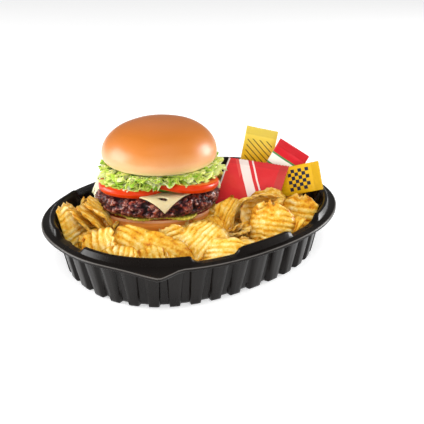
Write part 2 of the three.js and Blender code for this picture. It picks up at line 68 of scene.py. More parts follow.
# Section of the tray: inset from the rim's edge, height, then how much of the flutes'
# depth, of the panels' raised foot, of the bead and of the tab the row takes. Zeros at
# a row's end are left out.
TRAY_ROWS = (
    (None, 0), (40, 0.05), (26.4, 0, 0.8, 0.2), (24.6, 0.1, 1, 0.6), (23.5, 0.7, 1, 1.7),
    (22.8, 1.7, 1, 2.3), (22.3, 3.4, 1, 2), (21.2, 8, 1), (17.6, 22, 1), (14.2, 36, 1),
    (12.9, 42, 1), (12.3, 44.6, 0.9), (11.2, 45.6, 0.5), (8, 45.7), (2.6, 45.6, 0, 0, 0, 0.9),
    (1.5, 45.1, 0, 0, 0, 0.95), (1.1, 44.2, 0, 0, 0, 1), (0.5, 43.9, 0, 0, 0, 1),
    (0, 44.3, 0, 0, 0, 1), (0, 45.9, 0, 0, 0, 1), (0.5, 46.6, 0, 0, 0, 1),
    (1.4, 46.8, 0, 0, 0, 0.97), (6.2, 46.7), (7, 46.9, 0, 0, 0.12), (7.9, 46.7, 0, 0, 0.86),
    (8.7, 46.7, 0, 0, 1), (11.2, 46.7, 0, 0, 1), (12, 46.6, 0, 0, 0.86),
    (12.9, 46.4, 0, 0, 0.1), (13.4, 45.6, 0.2), (13.9, 43.4, 0.9), (16, 35, 1), (19.4, 21, 1),
    (23, 7, 1, 1), (23.9, 4, 1, 2), (25.2, 2.2, 1, 1.8), (28, 1.5, 0.6, 0.5), (45, 1.5),
    (None, 1.5),
)
# The row at the lip's rounded top edge, where a pale line of painted highlight runs round the rim.
SHEARED_ROW = 20
# Stations round one rib and one panel: half a rib's width, then pitches past it, and
# how much of the rib stands there.
FLUTE_STATIONS = (
    (-1, 0, 1), (-0.34, 0, 1), (0.34, 0, 1), (1, 0, 1), (1, 0.022, 0.88), (1, 0.05, 0.2),
    (1, 0.075, 0), (0.9, 0.22, 0), (-0.9, 0.78, 0), (-1, 0.925, 0), (-1, 0.95, 0.2),
    (-1, 0.978, 0.88),
)


def blend(low, high, share):
    """From low to high, held at both ends."""
    return low + (high - low) * max(0.0, min(1.0, share))


def oval_point(angle, inset):
    """A point of the tray's plan, a superellipse that squares off towards the base."""
    share = (inset - NECK_INSET) / (BASE_INSET - NECK_INSET)
    power = 2 / blend(RIM_BULGE, BASE_BULGE, share)
    c, s = cos(angle), sin(angle)
    return Vector((
        copysign((RIM_LENGTH / 2 - inset) * abs(c) ** power, c),
        copysign((RIM_WIDTH / 2 - inset) * abs(s) ** power, s),
    ))


def outline_lengths():
    """The rim's length from the start of the oval to each of its even angles."""
    lengths = [0.0]
    last = oval_point(0, 0)
    for step in range(1, OUTLINE_STEPS + 1):
        point = oval_point(2 * pi * step / OUTLINE_STEPS, 0)
        lengths.append(lengths[-1] + (point - last).length)
        last = point
    return lengths


RIM_LENGTHS = outline_lengths()


def angle_at(fraction):
    """The oval's angle at a fraction of the way round its rim."""
    wanted = fraction % 1 * RIM_LENGTHS[-1]
    after = max(1, bisect.bisect_left(RIM_LENGTHS, wanted))
    before = RIM_LENGTHS[after - 1]
    part = (wanted - before) / (RIM_LENGTHS[after] - before)
    return 2 * pi * (after - 1 + part) / OUTLINE_STEPS


def eased(share):
    return (1 - cos(pi * share)) / 2


def tab_reach(bearing):
    """How far the pull tab stands out: a long rise to its tip, then a short fall."""
    rise = blend(0, 1, (bearing - TAB_START) / (TAB_TIP - TAB_START))
    fall = blend(0, 1, (TAB_END - bearing) / (TAB_END - TAB_TIP))
    climb = rise**1.5 * (0.4 + 0.6 * eased(rise))
    return TAB_REACH * (climb if bearing < TAB_TIP else eased(fall) ** 1.4)


def bead_share(bearing):
    """The bead stands at full height but for its gaps, whose ends slope."""
    away = min(abs((bearing - gap + 540) % 360 - 180) for gap in BEAD_GAPS)
    return eased(blend(0, 1, (away - BEAD_GAP_HALF) / BEAD_SLOPE))


def spun(profile, steps):
    """A closed body of revolution about Z, from an outline of (radius, height) points."""
    bm = bmesh.new()
    corners = [bm.verts.new((radius, 0, height)) for radius, height in profile]
    lines = [bm.edges.new(pair) for pair in zip(corners, corners[1:])]
    bmesh.ops.spin(bm, geom=corners + lines, cent=(0, 0, 0), axis=(0, 0, 1), angle=2 * pi,
                   steps=steps, use_merge=True)
    bmesh.ops.remove_doubles(bm, verts=bm.verts, dist=1e-5)
    bmesh.ops.recalc_face_normals(bm, faces=bm.faces)
    return bm


def paint(bm, name, colour_of):
    """Paints each vertex with three values from colour_of(vertex)."""
    layer = bm.verts.layers.float_color.new(name)
    for vert in bm.verts:
        vert[layer] = (*colour_of(vert), 1.0)


def shape_tray():
    """Spins the rows as a plain drum, row number for height, then gives each its place."""
    drum = [(0 if row[0] is None else 1, level) for level, row in enumerate(TRAY_ROWS)]
    stations = RIB_COUNT * len(FLUTE_STATIONS)
    bm = spun(drum, stations)
    # Marks the lip's top edge for the painted highlight.
    paint(bm, "edge", lambda vert: (round(vert.co.z) == SHEARED_ROW, 0, 0))
    for vert in bm.verts:
        inset, z, flute, foot, bead, tab = (*TRAY_ROWS[round(vert.co.z)], 0, 0, 0, 0)[:6]
        if inset is None:
            vert.co.z = z
            continue
        turn = atan2(vert.co.y, vert.co.x) / (2 * pi) % 1
        pitch, place = divmod(round(turn * stations) % stations, len(FLUTE_STATIONS))
        half, past, rib = FLUTE_STATIONS[place]
        width = blend(RIB_FOOT, RIB_HEAD, z / RIM_HEIGHT)
        angle = angle_at((pitch + half * width + past) / RIB_COUNT)
        bearing = degrees(angle)
        plan = oval_point(angle, inset + FLUTE_DEPTH * flute * (1 - rib))
        plan *= 1 + tab * tab_reach(bearing) / plan.length
        height = z + foot * (1 - rib) + bead * BEAD_HEIGHT * bead_share(bearing)
        vert.co = (*plan, height)
    return bm


def srgb(code):
    """A colour written as six hexadecimal digits, as the shaders' linear colour."""
    parts = [int(code[i:i + 2], 16) / 255 for i in (0, 2, 4)]
    return (*[p / 12.92 if p < 0.04045 else ((p + 0.055) / 1.055) ** 2.4 for p in parts], 1)


class Field:
    """A value or colour that varies over a surface: a node's socket, for use in sums."""

    def __init__(self, finish, socket):
        self.finish = finish
        self.socket = socket

    def math(self, operation, first, second):
        return self.finish.node("ShaderNodeMath", {"operation": operation}, {0: first, 1: second})

    def __add__(self, other):
        return self.math("ADD", self, other)

    __radd__ = __add__

    def __mul__(self, other):
        return self.math("MULTIPLY", self, other)

    __rmul__ = __mul__

    def __sub__(self, other):
        return self.math("SUBTRACT", self, other)

    def __rsub__(self, other):
        return self.math("SUBTRACT", other, self)

    def __gt__(self, other):
        return self.math("GREATER_THAN", self, other)

    def __lt__(self, other):
        return self.math("LESS_THAN", self, other)

    def between(self, low, high):
        """0 below low, 1 above high and smooth between."""
        return self.finish.node("ShaderNodeMapRange", {"interpolation_type": "SMOOTHSTEP"},
                                {"Value": self, "From Min": low, "From Max": high})


class Finish:
    """A material on the principled shader, whose named sockets are set or fed."""

    def __init__(self, name, **sockets):
        self.material = bpy.data.materials.new(name)
        self.material.use_nodes = True
        self.tree = self.material.node_tree
        self.shader = self.tree.nodes["Principled BSDF"]
        self.feed(**sockets)

    def join(self, socket, value):
        if isinstance(value, Field):
            self.tree.links.new(value.socket, socket)
        else:
            socket.default_value = value

    def feed(self, **sockets):
        for name, value in sockets.items():
            self.join(self.shader.inputs[name.replace("_", " ")], value)

    def node(self, kind, settings=None, inputs=None, output=0):
        made = self.tree.nodes.new(kind)
        for key, value in (settings or {}).items():
            if key == "stops":
                ramp = made.color_ramp
                while len(ramp.elements) < len(value):
                    ramp.elements.new(0.5)
                for stop, (position, colour) in zip(ramp.elements, value):
                    stop.position = position
                    stop.color = colour
            else:
                setattr(made, key, value)
        for key, value in (inputs or {}).items():
            self.join(made.inputs[key], value)
        return Field(self, made.outputs[output])

    def noise(self, size, detail=3, roughness=0.5, stretch=(1, 1, 1)):
        """Soft noise from 0 to 1 whose blotches are about size millimetres across."""
        spot = self.node("ShaderNodeTexCoord", output=3)
        return self.node("ShaderNodeTexNoise", {}, {
            "Vector": self.node("ShaderNodeMapping", {}, {"Vector": spot, "Scale": stretch}),
            "Scale": 1 / (size * MM), "Detail": detail, "Roughness": roughness,
        })

    def ramp(self, value, *stops):
        stops = [(position, srgb(code)) for position, code in stops]
        return self.node("ShaderNodeValToRGB", {"stops": stops}, {0: value})

    def mix(self, share, first, second):
        first, second = [srgb(c) if isinstance(c, str) else c for c in (first, second)]
        return self.node("ShaderNodeMix", {"data_type": "RGBA"},
                         {0: share, 6: first, 7: second}, output=2)

    def painted(self, name):
        """Three values painted on the mesh, as fields."""
        colour = self.node("ShaderNodeAttribute", {"attribute_name": name})
        return [self.node("ShaderNodeSeparateColor", {}, {0: colour}, output=i) for i in range(3)]

    def bump(self, height, depth):
        """A normal for relief of about depth millimetres."""
        return self.node("ShaderNodeBump", {},
                         {"Height": height, "Distance": depth * MM, "Strength": 1.0})


def put(name, data):
    """Puts a mesh, lamp or camera into the scene."""
    thing = bpy.data.objects.new(name, data)
    bpy.context.scene.collection.objects.link(thing)
    return thing


def add_piece(name, bm, finish, nodes, place=Matrix.Identity(4), sharp=None):
    """Turns a mesh made in millimetres into a piece of the object, in metres and in place."""
    bm.transform(Matrix.Scale(MM, 4) @ place)
    mesh = bpy.data.meshes.new(name)
    bm.to_mesh(mesh)
    bm.free()
    mesh.shade_smooth()
    if sharp:
        mesh.set_sharp_from_angle(angle=radians(sharp))
    mesh.materials.append(finish.material)
    piece = put(name, mesh)
    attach(piece, "root")
    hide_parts(*nodes)


plastic = Finish("black_plastic", Specular_IOR_Level=0.21)
sheared, _, _ = plastic.painted("edge")
haze = plastic.noise(45, 3)
drawn = plastic.noise(5, 4, 0.6, (1, 1, 0.12))
orange_peel = plastic.noise(1.6, 2)
sheet = plastic.mix(haze, "0d0a09", "16120f")
# The pale grey line along the lip's top edge is a painted highlight, stronger where the haze is.
plastic.feed(
    Base_Color=plastic.mix(sheared * (0.2 + 0.6 * haze), sheet, "8a8580"),
    Roughness=0.2 + 0.1 * haze + 0.06 * drawn,
    Normal=plastic.bump(drawn + 0.5 * orange_peel, 0.06),
)
add_piece("tray_body", shape_tray(), plastic, ["tray"], sharp=50)

# -------- the bottom bun
# The heel of a soft white bun, golden outside and sliced level. It stands on the chips,
# which prop up its front, and its cut face is toasted at the rim and damp with sauce. A
# dark red line of painted shade runs along the crust's rounded top edge.
SERVING_TURN = -38
BURGER_PLACE = (-31.3, 23.7, 0)
LOWER_SHIFT = -3.5
HEEL_RADIUS = 53.0
HEEL_HEIGHT = 18.0
HEEL_TOP = 41.0
HEEL_LEAN = 7


def turned(angle, axis):
    """A turn of so many degrees about X, Y or Z."""
    return Matrix.Rotation(radians(angle), 4, axis)


meal = turned(SERVING_TURN, "Z")
burger = meal @ Matrix.Translation(BURGER_PLACE)


def leaned(tilt, height, x=0, y=0, sideways=0):
    """A burger layer's place: tipped up at the front, then lifted to its height."""
    return (burger @ Matrix.Translation((x, y, height)) @ turned(-tilt, "X")
            @ turned(sideways, "Y"))


def smooth_outline(corners, steps):
    """Points along a Catmull-Rom curve through the (radius, height) corners."""
    outline = []
    ends = [corners[0], *corners, corners[-1]]
    for before, start, stop, after in zip(ends, ends[1:], ends[2:], ends[3:]):
        for step in range(steps):
            t = step / steps
            outline.append(tuple(
                0.5 * (2 * b + (c - a) * t + (2 * a - 5 * b + 4 * c - d) * t * t
                       + (3 * b - a - 3 * c + d) * t**3)
                for a, b, c, d in zip(before, start, stop, after)
            ))
    outline.append(corners[-1])
    return [(max(0.0, radius), height) for radius, height in outline]


def shape_heel():
    radius, height = HEEL_RADIUS, HEEL_HEIGHT
    side = smooth_outline([
        (radius - 16, -height), (radius - 8.5, -height + 1.2), (radius - 3, -height + 5),
        (radius - 0.4, -height + 10), (radius - 0.5, -5.4), (radius - 0.2, -3.2),
        (radius - 0.6, -1.2), (radius - 3, -0.2),
    ], 4)
    bm = spun([(0, -height), (radius - 27, -height), *side, (radius - 8, -0.5), (30, -0.6),
               (12, -0.6), (0, -0.6)], 144)
    for vert in bm.verts:
        angle = atan2(vert.co.y, vert.co.x)
        swell = 1 + 0.012 * sin(2 * angle + 0.6) + 0.008 * sin(5 * angle)
        swell += 0.006 * noise.noise(vert.co / 9)
        vert.co.x *= swell
        vert.co.y *= swell
        vert.co.z += 0.5 * noise.noise(vert.co / 12 + Vector((3, 0, 0)))
    # The third value marks the band under the cut, and falls to nought on the edge above it, where
    # the finish paints shade.
    paint(bm, "bake", lambda vert: (
        blend(0, 1, (hypot(vert.co.x, vert.co.y) - radius + 3.2) / 2 - vert.co.z / 3 - 0.4),
        blend(0, 1, -vert.co.z / height),
        blend(0.5, 1, (vert.co.z + 4.6) / 1.2) if vert.co.z < -1.7
        else blend(0.5, 0, (vert.co.z + 1.7) / 0.3),
    ))
    return bm


def scatter(weight, scale, *radius):
    """The sockets for light that spreads below the surface."""
    return {"Subsurface_Weight": weight, "Subsurface_Scale": scale, "Subsurface_Radius": radius}


heel = Finish("heel_bread", **scatter(0.12, 0.004, 1, 0.5, 0.25), Specular_IOR_Level=0.4)
crusted, depth, lip = heel.painted("bake")
pores = heel.noise(1.1, 3, 0.6)
patches = heel.noise(16, 3)
crust = heel.ramp(depth + 0.35 * patches - 0.18,
                  (0, "f2a862"), (0.25, "ec9a48"), (0.6, "e08834"), (1, "cc7026"))
crumb = heel.ramp(pores + 0.5 * patches, (0.35, "c08a4a"), (0.6, "e6c48c"), (0.9, "f3dcae"))
bread = heel.mix(crusted.between(0.1, 0.7), crumb, crust)
bread = heel.mix(lip.between(0.55, 0.95) * 0.8, bread, "f4bc94")
# The dark red line along the crust's rounded top edge, just under the cut, is painted shade.
heel.feed(
    Base_Color=heel.mix(lip.between(0.45, 0.1) * crusted.between(0, 0.2), bread, "8a3216"),
    Roughness=0.62 - 0.22 * crusted,
    Normal=heel.bump(pores, 0.28),
)
add_piece("heel", shape_heel(), heel, ["bun_bottom"],
          leaned(HEEL_LEAN, HEEL_TOP, LOWER_SHIFT, -1))

# -------- the pickles
# Two crinkle-cut slices of gherkin on the heel, olive skinned and pale inside, with the
# relish and sauce that squeeze out between the heel and the beef.
PICKLES = ((-15, -42), (21, -40))
PICKLE_RADIUS = 15.0
PICKLE_HEIGHT = 3.2
PICKLE_LEAN = 6.5
RELISH_FROM = radians(-142)
RELISH_TO = radians(-38)


def shape_pickles():
    whole = bmesh.new()
    for x, y in PICKLES:
        half = PICKLE_HEIGHT / 2 - 0.5
        rim = [(PICKLE_RADIUS + 0.1 - 0.5 * step**4, step * half) for step in (-1, -0.5, 0, 0.5, 1)]
        rings = [(PICKLE_RADIUS * share, half) for share in (0.9, 0.75, 0.6, 0.4, 0.2)]
        lower = [(r, -z) for r, z in reversed(rings)]
        bm = spun([(0, -half), *lower, *rim, *rings, (0, half)], 56)
        for vert in bm.verts:
            angle = atan2(vert.co.y, vert.co.x)
            swell = 1 + 0.04 * sin(4 * angle)
            vert.co = (vert.co.x * swell, vert.co.y * swell,
                       vert.co.z + 0.45 * sin(vert.co.x * 1.5 + vert.co.y * 0.4))
        bm.transform(Matrix.Translation((x, y, 0)))
        join_into(whole, bm)
    return whole


def join_into(whole, bm):
    """Adds one mesh to another and frees it."""
    part = bpy.data.meshes.new("part")
    bm.to_mesh(part)
    bm.free()
    whole.from_mesh(part)
    bpy.data.meshes.remove(part)


def slab(bm, columns, rows, pierce=None):
    """Adds a unit slab to bm, whose grid pierce(bm) may cut first. Returns a list of
    vertex, u, v and side: u and v run from -0.5 to 0.5, and side is 1 or -1."""
    before = len(bm.faces)
    grid = bmesh.ops.create_grid(bm, x_segments=columns, y_segments=rows, size=0.5)["verts"]
    if pierce:
        pierce(bm)
        grid = [vert for vert in grid if vert.is_valid]
    raised = bmesh.ops.extrude_face_region(bm, geom=list(bm.faces)[before:])["geom"]
    upper = [part for part in raised if isinstance(part, bmesh.types.BMVert)]
    bmesh.ops.translate(bm, verts=upper, vec=(0, 0, 1))
    return [(vert, vert.co.x, vert.co.y, 1 if vert.co.z > 0.5 else -1) for vert in grid + upper]


def bend_slab(parts, middle, thick):
    """Lays a slab along the surface middle(u, v), thick(u, v) deep."""
    step = 0.004
    places = []
    for vert, u, v, side in parts:
        along_u = middle(u + step, v) - middle(u - step, v)
        along_v = middle(u, v + step) - middle(u, v - step)
        out = along_u.cross(along_v).normalized()
        places.append((vert, middle(u, v) + out * side * thick(u, v) / 2))
    for vert, place in places:
        vert.co = place


def shape_relish():
    """A thin uneven ribbon of relish along the front of the heel."""
    def middle(u, v):
        angle = blend(RELISH_FROM, RELISH_TO, u + 0.5)
        lump = Vector((u * 30, v * 3, 4))
        radius = 48 + 6.5 * v + 1.6 * noise.noise(lump)
        return Vector((radius * cos(angle) + LOWER_SHIFT, radius * sin(angle) - 1,
                       0.4 - 2.2 * max(0.0, v) ** 2 + 1.3 * noise.noise(lump * 1.7)))

    def thick(u, v):
        rounded = blend(0.3, 1, (0.5 - max(abs(u), abs(v))) / 0.12)
        return 2.1 * rounded * (1 + 0.6 * noise.noise(Vector((u * 40, v * 3, 9))))

    bm = bmesh.new()
    bend_slab(slab(bm, 150, 8), middle, thick)
    bmesh.ops.recalc_face_normals(bm, faces=bm.faces)
    return bm


pickle = Finish("pickle_flesh", **scatter(0.3, 0.004, 0.8, 1, 0.3), Coat_Weight=0.5,
                Coat_Roughness=0.12)
mottle = pickle.noise(3.2, 4, 0.6)
pickle.feed(
    Base_Color=pickle.ramp(mottle, (0.3, "77701a"), (0.48, "b5a534"), (0.62, "e2cf5c"),
                           (0.75, "f0e2a0")),
    Roughness=0.3 + 0.2 * mottle,
    Normal=pickle.bump(pickle.noise(1.2, 3), 0.3),
)
add_piece("pickle_slices", shape_pickles(), pickle, ["pickle_1", "pickle_2"],
          leaned(PICKLE_LEAN, HEEL_TOP + 0.8))
add_piece("relish", shape_relish(), pickle, ["pickle_1", "pickle_2"],
          leaned(HEEL_LEAN, HEEL_TOP + 0.6))

# -------- the patty
# A thick patty of coarse minced beef, flame grilled: crumbly clumps, coloured near black
# down in the crevices as painted shade, glossy on the crests and flecked there with pale
# pinkish painted glints.
PATTY_RADIUS = 58.0
PATTY_HEIGHT = 20.0
PATTY_BASE = 42.6
PATTY_LEAN = 6
PATTY_ROUND = 9.2
CLUMP = 5.4
PATTY_STEPS = 360


def crag(point):
    """Height of the mince's surface, from -1 in a crevice to 1 on a clump."""
    bent = point + 3.4 * noise.noise_vector(point / 5) + 1.2 * noise.noise_vector(point / 1.7)
    heights = []
    for size in (CLUMP, CLUMP / 2.2):
        spots, _ = noise.voronoi(Vector((bent.x, bent.y, 1.4 * bent.z)) / size)
        heights.append(0.95 - 1.5 * spots[0] - 1.1 * max(0, 0.22 - (spots[1] - spots[0])))
    rough = 0.25 * noise.noise(point / 1.3) + 0.4 * noise.noise(point / 9)
    return blend(-1, 1, 0.46 + 0.62 * heights[0] + 0.3 * heights[1] + rough)


def shape_patty():
    half = PATTY_HEIGHT / 2
    rows = 34
    side = []
    for row in range(rows + 1):
        level = sin(pi / 2 * (2 * row / rows - 1))
        side.append((PATTY_RADIUS - PATTY_ROUND * abs(level) ** 4.5, half + half * level))
    flat = [PATTY_RADIUS - PATTY_ROUND - 2.6 * (1.22**ring) * ring for ring in range(1, 8)]
    bottom = [(r, 0) for r in reversed(flat)]
    top = [(r, PATTY_HEIGHT) for r in flat]
    bm = spun([(0, 0), *bottom, *side, *top, (0, PATTY_HEIGHT)], PATTY_STEPS)
    layer = bm.verts.layers.float_color.new("char")
    bm.normal_update()
    for vert in bm.verts:
        angle = atan2(vert.co.y, vert.co.x)
        upright = abs(vert.normal.z)
        wave = 0.9 * sin(3 * angle + 1) + 0.6 * sin(7 * angle)
        height = crag(vert.co)
        vert.co += vert.normal * ((2.2 - 1.5 * upright) * height - 0.7 * upright)
        vert.co += Vector((cos(angle), sin(angle), 0)) * wave * (1 - upright)
        vert[layer] = (0.5 + 0.5 * height, 0, 0, 1)
    return bm


beef = Finish("beef", Specular_IOR_Level=0.3, Coat_Roughness=0.12)
crest, _, _ = beef.painted("char")
fibre = beef.noise(1.5, 4, 0.65)
scorch = beef.noise(15, 3)
# Pale pinkish flecks on the crests: painted glints.
fat = beef.noise(3, 2).between(0.52, 0.68) * crest.between(0.5, 0.85)
rare = beef.noise(5.5, 3).between(0.58, 0.68)
# Near black in the crevices and lighter on the clumps: painted shade, with scorched patches at
# random.
lean = beef.ramp(crest + 0.3 * fibre + 0.35 * scorch - 0.35,
                 (0, "0c0505"), (0.34, "2c1015"), (0.62, "532324"), (0.86, "7c4036"), (1, "a4664e"))
beef.feed(
    Base_Color=beef.mix(fat * 0.6, beef.mix(rare * 0.5, lean, "b0401c"), "d9a894"),
    Roughness=0.46 - 0.22 * crest,
    Coat_Weight=0.15 + 0.6 * crest.between(0.5, 0.95),
    Normal=beef.bump(fibre, 0.5),
)
add_piece("beef_patty", shape_patty(), beef, ["patty"],
          leaned(PATTY_LEAN, PATTY_BASE, LOWER_SHIFT, -3))

# -------- the cheese
# A square slice of white cheese laid corner forwards and melted down over the beef. One
# of its own slit holes shows the beef near the hanging corner.
CHEESE_HEIGHT = 2.0
CHEESE_CORNER = 48.0
CHEESE_MIDDLE = Vector((4.2, -20.3))
CHEESE_TURN = Matrix.Rotation(radians(10), 2)
BEND_START = 50.0
BEND_RADIUS = 10.5
BEND_ANGLE = radians(84)
HOLE_MIDDLE = Vector((-0.353, -0.337))
HOLE_ALONG = Vector((0.326, -0.945))
HOLE_HALF_LENGTH = 0.066
HOLE_HALF_WIDTH = 0.034


def from_hole(spot):
    """How far a spot lies from the slit hole's middle: 1 on its edge."""
    away = spot - HOLE_MIDDLE
    along = away.dot(HOLE_ALONG) / HOLE_HALF_LENGTH
    return hypot(along, away.cross(HOLE_ALONG) / HOLE_HALF_WIDTH)


def pierce_slit(bm):
    """Opens the slit in the flat grid and rounds its edge."""
    inside = [face for face in bm.faces if from_hole(face.calc_center_median().xy) < 1]
    bmesh.ops.delete(bm, geom=inside, context="FACES")
    for vert in bm.verts:
        reach = from_hole(vert.co.xy)
        if vert.is_boundary and reach < 2:
            vert.co.xy = HOLE_MIDDLE + (vert.co.xy - HOLE_MIDDLE) / reach


def drape(u, v):
    """The slice's middle, rolled down over the patty's rounded edge, a little slack."""
    x, y = CHEESE_TURN @ Vector((u - v, u + v)) * CHEESE_CORNER + CHEESE_MIDDLE
    flat = max(1e-6, hypot(x, y))
    turn = blend(0, BEND_ANGLE, (flat - BEND_START) / (BEND_RADIUS * BEND_ANGLE))
    rest = max(0.0, flat - BEND_START - BEND_RADIUS * BEND_ANGLE)
    reach = min(flat, BEND_START) + BEND_RADIUS * sin(turn) + rest * cos(BEND_ANGLE)
    drop = BEND_RADIUS * (1 - cos(turn)) + rest * sin(BEND_ANGLE)
    slack = 0.35 * noise.noise(Vector((x / 14, y / 14, 0)))
    return Vector((x * reach / flat, y * reach / flat, slack - drop))


def shape_cheese():
    def thick(u, v):
        rounded = blend(0.45, 1, (0.5 - max(abs(u), abs(v))) / 0.012)
        slit = blend(0.5, 1, (from_hole(Vector((u, v))) - 1) / 0.3)
        return (CHEESE_HEIGHT - 0.15) * rounded * slit

    bm = bmesh.new()
    bend_slab(slab(bm, 80, 80, pierce_slit), drape, thick)
    bmesh.ops.recalc_face_normals(bm, faces=bm.faces)
    return bm


cheese = Finish("white_cheese", **scatter(0.35, 0.006, 1, 0.8, 0.5), Specular_IOR_Level=0.5)
cloud = cheese.noise(12, 3)
cheese.feed(
    Base_Color=cheese.mix(cloud, "c8b486", "d4c6a2"),
    Roughness=0.36 + 0.14 * cloud,
    Normal=cheese.bump(cheese.noise(2.2, 3), 0.12),
)
add_piece("cheese_slice", shape_cheese(), cheese, ["cheese"],
          leaned(PATTY_LEAN, PATTY_BASE + PATTY_HEIGHT + 0.3 + CHEESE_HEIGHT / 2, LOWER_SHIFT, -3))

# -------- the tomatoes
# Two slices of ripe tomato side by side: glossy skin round the rim and wet, paler flesh
# on the cut faces, with the right one lying partly on the left.
TOMATOES = (
    ("tomato_slice_left", "tomato_left", -22.7, -20, 65.4, 2, 1),
    ("tomato_slice_right", "tomato_right", 22.4, -19, 70.2, 5, 4),
)
TOMATO_RADIUS = 34.0
TOMATO_HEIGHT = 7.4
TOMATO_LEAN = 4


def shape_tomato(phase):
    half = TOMATO_HEIGHT / 2
    rim = smooth_outline([
        (TOMATO_RADIUS - 3, -half), (TOMATO_RADIUS - 1.5, -half + 0.25),
        (TOMATO_RADIUS - 0.3, -half * 0.4), (TOMATO_RADIUS, 0.1), (TOMATO_RADIUS - 0.5, half * 0.6),
        (TOMATO_RADIUS - 1.9, half - 0.2), (TOMATO_RADIUS - 3.2, half),
    ], 4)
    inner = [(TOMATO_RADIUS * share, half) for share in (0.82, 0.7, 0.56, 0.42, 0.28, 0.14)]
    lower = [(r, -half) for r, _ in reversed(inner)]
    bm = spun([(0, -half), *lower, *rim, *inner, (0, half)], 120)
    for vert in bm.verts:
        angle = atan2(vert.co.y, vert.co.x)
        flat = hypot(vert.co.x, vert.co.y) / TOMATO_RADIUS
        swell = 1 + 0.015 * sin(3 * angle + phase) + 0.01 * sin(5 * angle + 2 * phase)
        pocket = max(0.0, sin(pi * blend(0, 1, (flat - 0.3) / 0.5)))
        dent = 0.5 * pocket * max(0.0, sin(5 * angle + phase))
        vert.co = (vert.co.x * swell, vert.co.y * swell,
                   vert.co.z - copysign(dent, vert.co.z) * (abs(vert.co.z) > half * 0.9))
    paint(bm, "cut", lambda vert: (
        blend(0, 1, (hypot(vert.co.x, vert.co.y) / TOMATO_RADIUS - 0.9) / 0.06),
        blend(0, 1, hypot(vert.co.x, vert.co.y) / TOMATO_RADIUS), 0,
    ))
    return bm


tomato = Finish("ripe_tomato", **scatter(0.06, 0.005, 1, 0.25, 0.1), Coat_Weight=0.32,
                Coat_Roughness=0.1, Specular_IOR_Level=0.2)
skinned, outwards, _ = tomato.painted("cut")
streak = tomato.noise(5, 3)
flesh = tomato.ramp(outwards + 0.3 * streak - 0.15,
                    (0.1, "e0703c"), (0.35, "d42c08"), (0.6, "e04a14"), (0.85, "ec6c2c"))
skin = tomato.mix(streak, "bc2200", "cf3e02")
tomato.feed(
    Base_Color=tomato.mix(skinned, flesh, skin),
    Roughness=0.3 + 0.15 * streak,
    Normal=tomato.bump(streak + 0.4 * tomato.noise(0.9, 2), 0.14),
)
for piece_name, node, x, y, height, sideways, phase in TOMATOES:
    add_piece(piece_name, shape_tomato(phase), tomato, [node],
              leaned(TOMATO_LEAN, height + TOMATO_HEIGHT / 2, x, y, sideways))

# -------- the lettuce
# Chopped green leaf lettuce: small curly pieces with pale ribs, heaped on the tomatoes
# and hanging out all round. A crumpled core packs the middle under the crown.
LETTUCE_BASE = 65.6
LETTUCE_TOP = 87.0
LEAF_THICKNESS = 0.6
LEAF_GAP = 0.4
# The leaves lie flatter over the front of the right slice, at this bearing and so far
# round, and nothing stands much above where the crown presses.
FLAT_AT, FLAT_REACH = 295, 32
PRESSED_TOP = 86.5
# How many pieces a tier has, then where they start and how far they dip.
LEAF_TIERS = ((96, 41.5, 76.5, 14), (96, 44, 79.5, 4), (84, 44.5, 82, -2), (56, 44, 84, -10))
# Bearing in degrees, radius, height, width, length, dip and paleness of the loose ones.
HANGING_LEAVES = (
    (-121, 47, 79, 9, 16, 36, 1.0),
    (-134, 47, 78.5, 8, 13, 32, 0.8),
    (-143, 47, 78, 9, 13, 30, 0.2),
    (-127, 46, 78, 9, 13, 34, 0.3),
    (-112, 45, 78.5, 8, 13, 34, 0.1),
    (-105, 43, 78, 9, 12, 34, 0.3),
    (-97, 42, 77, 8, 10, 30, 0.0),
    (-50, 43, 80.5, 24, 14, 14, 0.6),
    (-32, 46, 81, 22, 15, 12, 0.55),
    (-12, 49, 80, 20, 14, 12, 0.5),
    (211, 52, 76, 12, 10, 14, 0.25),
    (217, 52, 76, 12, 10, 12, 0.0),
    (223, 52, 75.5, 12, 10, 12, 0.4),
    (229, 51, 75.5, 12, 10, 12, 0.0),
)
# The same for the two that hang out from under the tomatoes, at either side.
TUCKED_LEAVES = ((186, 58, 70.5, 18, 17, 76, 1.0), (-6, 54, 70, 8, 9, 66, 0.7))


def shape_lettuce_core():
    depth = LETTUCE_TOP - LETTUCE_BASE
    outline = smooth_outline([(30, 1.2), (41, 0.8), (44.5, depth * 0.3), (45.5, depth * 0.65),
                              (41, depth - 2.5), (30, depth - 1.4)], 5)
    bm = spun([(0, 1), (15, 1.2), *outline, (15, depth - 1.4), (0, depth - 1.4)], 160)
    for vert in bm.verts:
        flat = hypot(vert.co.x, vert.co.y) / 44
        crumple = noise.noise(vert.co / 5) + 0.6 * noise.noise(vert.co / 2.2)
        vert.co.x *= 1 + 0.035 * crumple * flat
        vert.co.y *= 1 + 0.035 * crumple * flat
        vert.co.z += 1.2 * crumple
    return bm


